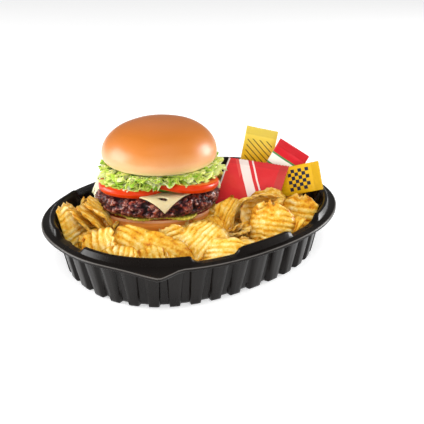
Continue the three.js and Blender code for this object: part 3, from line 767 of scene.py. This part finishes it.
def add_leaf(bm, layer, draw, width, length, place, ruffles, pale):
    """One torn piece: ruffled along its free edges, with a paler and stiffer base."""
    phase = [draw.uniform(0, 2 * pi) for _ in range(3)]
    curl = draw.uniform(-0.4, 0.9)
    tear = draw.uniform(0, 100)
    shade = draw.random()

    def middle(u, v):
        along = v + 0.5
        edge = 0.25 + 0.75 * along
        outline = 1 + 0.32 * noise.noise(Vector((u * 3.5, v * 3.5, tear)))
        wave = sin(2 * pi * ruffles * u + phase[0] + 1.5 * v)
        frill = sin(2 * pi * 2.3 * ruffles * u + phase[1]) * 0.35
        return Vector((
            (length * along - 0.8 * curl * length * along * along * 0.5) * outline,
            width * u * (0.6 + 0.6 * along) * outline,
            0.17 * width * edge * (wave + frill) + curl * 0.5 * length * along * along
            + 0.5 * sin(5 * v + phase[2]),
        ))

    cells = round(blend(7, 16, width / 22))
    parts = slab(bm, cells, cells * 2 // 3)
    bend_slab(parts, middle,
              lambda u, v: LEAF_THICKNESS * blend(0.35, 1, 5 - 10 * max(abs(u), abs(v))))
    for vert, u, v, _ in parts:
        rib = exp(-((u / 0.07) ** 2)) * (0.9 - v)
        # The third value grows towards the piece's base, where the finish paints shade.
        vert[layer] = (blend(0, 1, pale + 0.5 * rib + 0.35 * (0.3 - v)), shade, 0.5 - v, 1)
        vert.co = place @ vert.co


def leaf_place(angle, radius, height, dip, twist=0.0, roll=0.0):
    """Where a leaf starts from the burger's axis, and how far its tip hangs."""
    return (Matrix.Translation((radius * cos(angle), radius * sin(angle), height))
            @ Matrix.Rotation(angle + twist, 4, "Z") @ turned(dip, "Y") @ turned(roll, "X"))


def add_loose(bm, layer, draw, leaves):
    for bearing, radius, height, width, length, dip, pale in leaves:
        place = leaf_place(radians(bearing), radius, height, dip)
        add_leaf(bm, layer, draw, width, length, place, 1.6, pale)


def rest_on_tomatoes(bm):
    """Lifts what would sink into a slice onto its top, and less and less beyond its rim."""
    for _, _, x, y, height, sideways, _ in TOMATOES:
        seat = leaned(TOMATO_LEAN, height + TOMATO_HEIGHT / 2, x, y, sideways)
        seat = burger.inverted() @ seat
        above = seat.inverted()
        for vert in bm.verts:
            spot = above @ vert.co
            sunk = max(0.0, TOMATO_HEIGHT / 2 + LEAF_GAP - spot.z)
            beyond = hypot(spot.x, spot.y) - TOMATO_RADIUS - 1.5
            spot.z += sunk * blend(0.9, 0, beyond / 7)
            vert.co = seat @ spot


def shape_leaves():
    """Leaf pieces round the rim of the heap in tiers, then those that hang out alone. The
    crown presses them down."""
    draw = random.Random(12)
    bm = bmesh.new()
    layer = bm.verts.layers.float_color.new("leaf")
    for count, radius, height, dip in LEAF_TIERS:
        for index in range(count):
            angle = 2 * pi * (index + draw.random()) / count
            front = max(0.0, sin(-angle))
            right = max(0.0, cos(angle + 0.5))
            left = max(0.0, -cos(angle + 0.5))
            over_right = exp(-((degrees(angle) - FLAT_AT) / FLAT_REACH) ** 2)
            lift = draw.uniform(-1.8, 1.8) + 2.5 * right - 2.5 * left + 0.8 * front + over_right
            place = leaf_place(angle, radius + draw.uniform(-4, 3), height + lift,
                               dip + draw.uniform(-24, 30) - 14 * over_right, draw.uniform(-0.8, 0.8),
                               draw.uniform(-60, 60))
            add_leaf(bm, layer, draw, draw.uniform(6, 12) * (1 + 0.4 * right),
                     draw.uniform(7, 11.5) * (1 + 0.25 * max(left, right)), place,
                     draw.uniform(0.9, 1.6), draw.choice((0, 0, 0.15, 0.3, 0.7)))
    add_loose(bm, layer, draw, HANGING_LEAVES)
    rest_on_tomatoes(bm)
    add_loose(bm, layer, draw, TUCKED_LEAVES)
    for vert in bm.verts:
        if vert.co.z > PRESSED_TOP:
            vert.co.z = PRESSED_TOP + 0.2 * (vert.co.z - PRESSED_TOP)
    return bm


leaf = Finish("leaf_green", **scatter(0.25, 0.003, 0.6, 1, 0.2), Coat_Weight=0.15,
              Coat_Roughness=0.25)
pale, shade, inner = leaf.painted("leaf")
veins = leaf.noise(2, 4, 0.65)
broad = leaf.noise(9, 2)
greens = leaf.ramp(0.6 * veins + 0.4 * broad + 0.3 * shade - 0.1,
                   (0.25, "3f7a10"), (0.38, "7fae26"), (0.54, "c0d452"), (0.74, "e9eb9a"))
greens = leaf.mix(pale.between(0.3, 1.1), greens, "f2f1c4")
# The pieces darken to deep green towards their base, away from the pale ribs: painted shade.
leaf.feed(
    Base_Color=leaf.mix(inner.between(0.35, 1) * (1 - 0.8 * pale), greens, "2f5f0a"),
    Roughness=0.42 + 0.15 * veins,
    Normal=leaf.bump(veins, 0.35),
)
# The core is darker green than the pieces: painted shade for the gaps between them.
core = Finish("core_green", Roughness=0.5)
folds = core.noise(3.5, 4, 0.6)
core.feed(
    Base_Color=core.ramp(folds, (0.3, "1f4208"), (0.55, "4c7d1c"), (0.8, "8fb048")),
    Normal=core.bump(folds, 0.8),
)
add_piece("lettuce_core", shape_lettuce_core(), core, ["lettuce"],
          leaned(TOMATO_LEAN, LETTUCE_BASE))
add_piece("lettuce_pieces", shape_leaves(), leaf, ["lettuce"], burger)

# -------- the crown
# The top of the bun, egg washed and baked to a smooth glossy dome: deepest brown on top,
# golden down its side and pale where it met the next bun in the tin.
CROWN_RADIUS = 54.4
CROWN_FOOT = 46.5
CROWN_BASE = 85.6
CROWN_SKIRT = 8.6
CROWN_DOME = 31.8
CROWN_LEAN = 2.5
CROWN_SLIDE = 3.5


def shape_crown():
    quarter = pi / 2
    outline = [(0, 1.2), (20, 1.2), (36, 1.0), (43, 0.6), (CROWN_FOOT - 1.2, 0.1)]
    for step in range(10):
        turn = quarter * (step + 0.6) / 10
        outline.append((CROWN_FOOT + (CROWN_RADIUS - CROWN_FOOT) * sin(turn),
                        CROWN_SKIRT * (1 - cos(turn))))
    for step in range(1, 37):
        turn = quarter * step / 36
        outline.append((CROWN_RADIUS * max(0.0, cos(turn)) ** 0.86 if step < 36 else 0,
                        CROWN_SKIRT + CROWN_DOME * sin(turn)))
    bm = spun(outline, 180)
    for vert in bm.verts:
        share = blend(0, 1, vert.co.z / (CROWN_SKIRT + CROWN_DOME))
        drift = 0.35 * noise.noise(vert.co / 22)
        vert.co += Vector((CROWN_SLIDE * share * share, 0, 0)) + vert.co.normalized() * drift
    paint(bm, "bake", lambda vert: (
        blend(0, 1, vert.co.z / (CROWN_SKIRT + CROWN_DOME)),
        blend(0, 1, (CROWN_FOOT - 0.5 - hypot(vert.co.x, vert.co.y)) / 2) * (vert.co.z < 4),
        0,
    ))
    return bm


bun = Finish("glazed_bun", **scatter(0.03, 0.004, 1, 0.5, 0.25), Coat_Weight=0.6,
             Coat_Roughness=0.32, Specular_IOR_Level=0.25)
rise, under, _ = bun.painted("bake")
clouds = bun.noise(30, 3)
freckles = bun.noise(1.3, 3, 0.6)
bake = bun.ramp(rise + 0.16 * clouds + 0.05 * freckles - 0.1,
                (0, "f4d8ac"), (0.13, "dab07c"), (0.3, "ca8a52"), (0.52, "bd702c"),
                (0.78, "ba6820"), (1, "bf6e34"))
crumb = bun.ramp(freckles, (0.3, "c9975a"), (0.6, "ecd3a0"), (0.9, "f6e6c4"))
bun.feed(
    Base_Color=bun.mix(under, bake, crumb),
    Roughness=0.4 + 0.1 * clouds,
    Normal=bun.bump(freckles + 0.5 * bun.noise(0.7, 2), 0.09),
)
add_piece("crown", shape_crown(), bun, ["bun_top"], leaned(CROWN_LEAN, CROWN_BASE))

# -------- the chips
# Ridged chips cut across a potato and fried golden: wavy slices 30 to 60 mm across, bent
# like saddles and brown along the edges, with a painted highlight making the crests paler
# and painted shade deepening the gold in the grooves.
CHIP_THICKNESS = 1.5
RIDGE_HEIGHT = 1.0
RIDGE_PITCH = 5.0
BED_HEIGHT = 28.0

# The chips that show, in the meal's frame: x, y, z, width across the ridges, length
# along them, grain, tip and swing in degrees, then how far they bend and curl.
SHOWN_CHIPS = (
    (-106, -32, 40, 48, 30, -75, 56, 39, 0.5, 0.8),
    (-95, -34, 43, 32, 46, 0, 58, 101, 0.2, 0.3),
    (-86, -30, 44, 34, 46, 0, 57, 99, 0.2, 0.3),
    (-80, -17, 47, 34, 46, 5, 56, 96, 0.2, 0.5),
    (-78, -70, 41, 30, 32, 20, 52, -12, 1.4, 0.4),
    (-47, -79, 45, 36, 52, 56, 47, 2, -0.7, 0.5),
    (-22, -80, 43, 26, 56, 58, 46, 12, -0.6, 0.6),
    (-58, -99, 41, 36, 26, 5, 56, -18, 0.6, 0.6),
    (-32, -103, 42, 32, 26, 12, 58, 4, -0.7, 0.5),
    (-14, -60, 38, 32, 40, -58, 42, 0, 0.4, 0.8),
    (11, -70, 42, 54, 44, -35, 46, -6, -0.9, 0.6),
    (32, -88, 41, 32, 64, -80, 46, -28, -0.5, 0.5),
    (70, -40, 46, 42, 44, -88, 58, -20, 0.4, 0.9),
    (92, -38, 41, 34, 28, 0, 58, -36, 0.6, 0.4),
    (99, -6, 42, 36, 42, -85, 54, -28, 0.3, 0.7),
    (31, -16, 46, 28, 36, 10, 60, -58, 0.4, 0.5),
    (60, 4, 50, 50, 34, 115, 66, -150, -1.5, 0.3),
    (44.8, -2, 49, 34, 46, 33, 50, -112, 0.2, 0.9),
    (74, 6, 41, 42, 44, -76, 56, 8, 0.4, 0.8),
    (-96, 14, 31, 36, 38, 78, 50, 80, 0.4, 0.7),
    (30, 70, 40, 42, 46, 75, 52, 150, 0.4, 0.7),
    (10, 92, 37, 36, 46, 15, 46, 180, 0.4, 0.6),
    (64, 68, 38, 34, 40, 30, 42, 130, 0.3, 0.8),
)
FILLING_CHIPS = 90
CLEAR_OF_BURGER = 50.0
DRAWN_HALF = (118, 105)
HEAP_HALF = (112, 98)
WALL_TOP = (17.8, 44)
WALL_FOOT = (27.4, 4)
WALL_SIDES = 24


def wall_planes():
    """Planes that touch the tray's inside all round, each a point and outward normal."""
    planes = []
    lean = (WALL_FOOT[0] - WALL_TOP[0]) / (WALL_TOP[1] - WALL_FOOT[1])
    for side in range(WALL_SIDES):
        angle = 2 * pi * (side + 0.5) / WALL_SIDES
        plan = oval_point(angle, WALL_TOP[0])
        along = oval_point(angle + 0.01, WALL_TOP[0]) - oval_point(angle - 0.01, WALL_TOP[0])
        out = Vector((along.y, -along.x, 0)).normalized()
        point = Vector((*plan, WALL_TOP[1]))
        planes.append((point, (out - Vector((0, 0, lean))).normalized()))
    return planes


def trim_to_tray(bm):
    """Breaks off what a chip has beyond the tray's wall."""
    for point, normal in wall_planes():
        if any((vert.co - point).dot(normal) > 0 for vert in bm.verts):
            whole = [*bm.verts, *bm.edges, *bm.faces]
            cut = bmesh.ops.bisect_plane(bm, geom=whole, plane_co=point, plane_no=normal,
                                         clear_outer=True)
            rim = [part for part in cut["geom_cut"] if isinstance(part, bmesh.types.BMEdge)]
            bmesh.ops.holes_fill(bm, edges=rim, sides=0)


def shape_chip(draw, chip, detail=8):
    """One ridged slice, laid in its place. Its ridges show on both faces."""
    x, y, z, width, length, grain, tip, swing, bend, curl = chip
    lump = Vector([draw.uniform(0, 50) for _ in range(3)])
    phase = draw.uniform(0, 2 * pi)
    pitch = RIDGE_PITCH * draw.uniform(0.95, 1.2)
    ridged = draw.uniform(0.6, 1.15) * blend(1, 0.65, (max(width, length) - 44) / 12)
    shade = draw.random()

    def rough(*spot):
        return noise.noise(lump + Vector(spot))

    def ridge(u, v):
        wander = 0.8 * rough(u * 2, v * 2, 0)
        depth = ridged * (0.8 + 0.9 * rough(u * 3, v * 3, 20))
        return depth * sin(2 * pi * u * width / pitch + phase + wander)

    def middle(u, v):
        end = copysign(1, v)
        ragged = 1 + 0.14 * rough(u * 4, 4 * end, 0) + 0.04 * rough(u * 14, 4 * end, 0)
        side = max(0.1, 1 - abs(2 * u) ** 2.6) ** (1 / 2.2) * ragged
        across = u * width * (1 + 0.22 * rough(copysign(3, u), v * 5, 5))
        along = v * length * side
        saddle = bend * across * across / width - curl * along * along / length
        warp = 3.6 * rough(u * 2.2, v * 2.2, 9)
        return Vector((across, along, RIDGE_HEIGHT * ridge(u, v) + saddle + warp))

    def thick(u, v):
        return CHIP_THICKNESS * blend(0.4, 1, (0.5 - max(abs(u), abs(v))) / 0.04)

    bm = bmesh.new()
    layer = bm.verts.layers.float_color.new("fry")
    parts = slab(bm, round(width / pitch * detail), detail + detail // 2)
    bend_slab(parts, middle, thick)
    place = (meal @ Matrix.Translation((x, y, z)) @ turned(swing, "Z") @ turned(tip, "X")
             @ turned(grain, "Z"))
    for vert, u, v, side in parts:
        edge = blend(1, 0, (0.5 - max(abs(u), abs(v))) / 0.09)
        # The ridge's height on each face, for the painted highlight on crests and painted shade in
        # grooves, then how near the edge, then a random tone.
        vert[layer] = (0.5 + 0.5 * side * ridge(u, v), edge, shade, 1)
        vert.co = place @ vert.co
    trim_to_tray(bm)
    bmesh.ops.recalc_face_normals(bm, faces=bm.faces)
    return bm


def shape_chips():
    draw = random.Random(4)
    heap = bmesh.new()
    for chip in SHOWN_CHIPS:
        join_into(heap, shape_chip(draw, chip))
    placed = 0
    while placed < FILLING_CHIPS:
        x, y = [draw.uniform(-half, half) for half in DRAWN_HALF]
        if hypot(x - BURGER_PLACE[0], y - BURGER_PLACE[1]) < CLEAR_OF_BURGER:
            continue
        if hypot(x / HEAP_HALF[0], y / HEAP_HALF[1]) > 1:
            continue
        placed += 1
        join_into(heap, shape_chip(draw, (
            x, y, draw.uniform(27, 34), draw.uniform(28, 38), draw.uniform(30, 42),
            draw.uniform(0, 180), draw.uniform(8, 50), draw.uniform(-180, 180),
            draw.uniform(-0.6, 0.9), draw.uniform(0.2, 0.8),
        ), 5))
    return heap


def shape_bed():
    """The heap below the chips that show, for the pieces that the dark between them hides. Its darker
    colour is painted shade.
    """
    levels = [(31, 1.8), (28.2, 3), (27, 8), (24, 20), (24, 23), (34, 26), (60, BED_HEIGHT),
              (90, BED_HEIGHT)]
    bm = spun([(0, 0), *[(1, row + 1) for row in range(len(levels))], (0, len(levels) + 1)], 180)
    for vert in bm.verts:
        row = round(vert.co.z)
        if row in (0, len(levels) + 1):
            vert.co.z = 1.8 if row == 0 else BED_HEIGHT
            continue
        inset, height = levels[row - 1]
        vert.co = (*oval_point(atan2(vert.co.y, vert.co.x), inset), height)
    return bm


potato = Finish("fried_potato", **scatter(0.1, 0.003, 1, 0.6, 0.2), Specular_IOR_Level=0.4,
                Coat_Weight=0.35, Coat_Roughness=0.16)
crested, rimmed, shade = potato.painted("fry")
blister = potato.noise(2.4, 4, 0.65)
toast = potato.noise(10, 3, 0.6)
# Paler on the ridge crests and deeper gold in the grooves: a painted highlight and painted shade.
gold = potato.ramp(0.3 * crested + 0.9 * toast + 0.6 * blister + 0.14 * shade - 0.52,
                   (0.14, "a85a00"), (0.3, "d58e10"), (0.44, "e4b034"), (0.58, "efcb6c"),
                   (0.75, "f8e4a4"))
potato.feed(
    Base_Color=potato.mix(rimmed * (0.2 + 0.8 * toast) * 0.7, gold, "b0701a"),
    Roughness=0.42 + 0.18 * blister,
    Normal=potato.bump(blister + 0.4 * potato.noise(0.8, 2), 0.5),
)
add_piece("chip_pieces", shape_chips(), potato, ["chips"])
# The bed is darker than the chips: painted shade for the gaps between them.
bed = Finish("potato_bed_painted_shade", Roughness=0.6)
shadowed = bed.noise(9, 3)
bed.feed(
    Base_Color=bed.ramp(shadowed, (0.3, "5a300a"), (0.6, "8f5814"), (0.8, "b8802c")),
    Normal=bed.bump(bed.noise(5, 2, 0.5, (1, 0.3, 1)), 2),
)
add_piece("chip_bed", shape_bed(), bed, ["chips"])

# -------- the sachets
# Four pillow sachets of sauce and seasoning in printed film, crimped and serrated at both
# ends and tucked upright between the chips. Their prints are stripes, a band and checks.
SEAL = 7.5
TEETH = 40


def sachet_frame(x, y, z, yaw, lean, roll):
    """Stands a sachet up: rolled in its own plane, leaned back and turned."""
    return (meal @ Matrix.Translation((x, y, z)) @ turned(-yaw, "Z") @ turned(-lean, "X")
            @ turned(roll, "Y") @ turned(90, "X"))


def shape_sachet(width, length, plump, bow, twist, seed):
    """A flat film pillow, filled between its crimped ends, with print coordinates."""
    lump = Vector((seed * 7.3, seed * 3.1, 0))

    def middle(u, v):
        crease = 0.5 * noise.noise(lump + Vector((u * 3, v * 5, 0)))
        return Vector((u * width, (v - 0.5) * length,
                       bow * (1 - 4 * v * v) + twist * u * v + crease))

    def thick(u, v):
        ends = (0.5 - abs(v)) * length - SEAL
        along = blend(0, 1, ends / 14) ** 0.6
        across = max(0.0, 1 - (2.02 * u) ** 2) ** 0.6
        pucker = 1 + 0.22 * noise.noise(lump + Vector((u * 9, v * 4, 3)))
        return 0.45 + plump * along * across * pucker

    bm = bmesh.new()
    uv = bm.loops.layers.uv.new("print")
    parts = slab(bm, TEETH, 80)
    spots = {vert: (u + 0.5, v + 0.5) for vert, u, v, _ in parts}
    for face in bm.faces:
        for loop in face.loops:
            loop[uv].uv = spots[loop.vert]
    bend_slab(parts, middle, thick)
    for vert, u, v, _ in parts:
        from_end = (0.5 - abs(v)) * length
        if from_end < SEAL:
            vert.co.z += 0.22 * sin(2 * pi * from_end / 1.5)
        if from_end < 0.1:
            vert.co.y += copysign(1.2 * (round((u + 0.5) * TEETH) % 2) - 0.9, v)
    bmesh.ops.recalc_face_normals(bm, faces=bm.faces)
    return bm


class Print(Finish):
    """Film whose print is read on the sachet's own coordinates, 0 to 1 across and up."""

    def __init__(self, name):
        super().__init__(name, Specular_IOR_Level=0.5, Coat_Weight=0.4, Coat_Roughness=0.15)
        spot = self.node("ShaderNodeUVMap", {"uv_map": "print"})
        self.across, self.up = [self.node("ShaderNodeSeparateXYZ", {}, {0: spot}, output=i)
                                for i in (0, 1)]

    def panel(self, left, right, low, high):
        """1 inside a rectangle and 0 outside."""
        soft = 0.004
        return (self.across.between(left - soft, left + soft)
                * (1 - self.across.between(right - soft, right + soft))
                * self.up.between(low - soft, low + soft)
                * (1 - self.up.between(high - soft, high + soft)))

    def bars(self, along, count, share=0.5):
        """Stripes across a field: count of them, each share of its pitch wide."""
        return self.node("ShaderNodeMath", {"operation": "FRACT"}, {0: along * count}) < share

    def finish_film(self, colour):
        """Colours the film, dulls its crimped ends and wrinkles it."""
        seal = self.up.between(0.88, 0.9) + (1 - self.up.between(0.1, 0.12))
        wrinkles = self.noise(7, 3)
        self.feed(Base_Color=self.mix(0.12 * seal, colour, "202020"),
                  Roughness=0.3 + 0.12 * wrinkles, Normal=self.bump(wrinkles, 0.6))


def pinstripes(film):
    """Yellow with slanting brown pinstripes."""
    colour = film.mix(film.up.between(0.6, 0.95), "d2a41a", "dcc246")
    stripes = film.bars(film.up + 0.35 * film.across, 13, 0.24)
    return film.mix(stripes * film.panel(0.1, 0.9, 0.16, 0.84) * 0.85, colour, "33290e")


def edged_band(film):
    """Red with a straight white band, edged in green."""
    colour = film.mix(film.panel(0, 1, 0.62, 0.8), "cb1322", "3f8a4c")
    return film.mix(film.panel(0, 1, 0.645, 0.775), colour, "f4f1e8")


def checks(film):
    """Yellow with a chequered navy field."""
    odd = film.bars(film.across, 4) - film.bars(film.up, 10)
    return film.mix(odd * odd * film.panel(0.125, 0.875, 0.55, 0.85), "e3b012", "20243a")


def broad_stripes(film):
    """Scarlet with a broad and a narrow slanting pale stripe, and a plain white edge."""
    slant = film.across + 0.45 * film.up
    stripes = (slant > 0.62) * (slant < 0.78) + (slant > 0.84) * (slant < 0.87)
    colour = film.mix(film.across.between(0.86, 0.88), "dc3034", "c53a36")
    folded = film.panel(0.03, 0.3, 0.0, 1.0) * (film.up > 1.25 - 2.2 * film.across)
    colour = film.mix(folded, colour, "e4524e")
    return film.mix(stripes + (film.across < 0.03), colour, "f8e6df")


# Name, print, slot, then how each stands and how big it is.
SACHETS = (
    ("mustard", pinstripes, "film_yellow", (69.5, 88, 94.5, 4, 10, 10), (32, 70, 4, 1, 3)),
    ("ketchup", edged_band, "film_red", (100, 62, 84, 22, 14, 25), (34, 70, 5, 1, -3)),
    ("mayonnaise", checks, "film_ochre", (123, 33.7, 66.2, 22, 20, 71), (28, 70, 4, 0, 2)),
    ("seasoning", broad_stripes, "film_scarlet", (64.3, 55, 71.3, 25, 45, 0),
     (64, 50, 3, 1.5, 3)),
)
for seed, (name, design, slot, stand, size) in enumerate(SACHETS):
    film = Print(f"{name}_film")
    film.finish_film(design(film))
    add_piece(f"packet_{name}", shape_sachet(*size, seed + 1), film, [f"sachet_{name}"],
              sachet_frame(*stand))

# -------- floor, lights, camera
# A white studio sweep under soft boxes, seen from above the tray's pull tab.
FLOOR_SIZE = 6.0
CAMERA_PLACE = (-0.49433, -0.66118, 0.40094)
CAMERA_AIM = (0.0151, -0.0109, 0.04175)
CAMERA_LENS = 81.17
GLOW = 0.17

floor_bm = bmesh.new()
bmesh.ops.create_grid(floor_bm, x_segments=1, y_segments=1, size=FLOOR_SIZE / 2)
floor_mesh = bpy.data.meshes.new("studio_floor")
floor_bm.to_mesh(floor_mesh)
floor_bm.free()
floor = put("studio_floor", floor_mesh)
floor_paint = Finish("floor_paint", Base_Color=(0.85, 0.85, 0.85, 1), Roughness=0.8,
                     Emission_Color=(1, 1, 1, 1), Emission_Strength=0.4)
floor_mesh.materials.append(floor_paint.material)


def aim(thing, place, target):
    thing.location = place
    thing.rotation_euler = (Vector(target) - Vector(place)).to_track_quat("-Z", "Y").to_euler()


def soft_box(name, place, size, power, target=(0, 0, 0.05)):
    lamp = bpy.data.lights.new(name, "AREA")
    lamp.shape = "RECTANGLE"
    lamp.size, lamp.size_y = size
    lamp.energy = power
    box = put(name, lamp)
    aim(box, place, target)
    return box


soft_box("left_box", (-1.2, 0.84, 0.36), (1.1, 1.1), 33)
soft_box("right_box", (1.15, -0.36, 0.3), (0.42, 0.6), 14)
fill = soft_box("fill_box", (-0.4, -0.8, 1.5), (1.6, 1.6), 25)
fill.visible_glossy = False
low_fill = soft_box("low_fill", (-0.8, -1.0, 0.35), (1.2, 0.5), 9)
low_fill.visible_glossy = False

world = bpy.data.worlds.new("studio")
bpy.context.scene.world = world
world.use_nodes = True
glow = world.node_tree.nodes["Background"].inputs
glow["Color"].default_value = (1, 1, 1, 1)
glow["Strength"].default_value = GLOW
bpy.context.scene.view_settings.view_transform = "Standard"

lens = bpy.data.cameras.new("camera")
lens.lens = CAMERA_LENS
lens.sensor_width = 36
camera = put("camera", lens)
aim(camera, CAMERA_PLACE, CAMERA_AIM)
bpy.context.scene.camera = camera
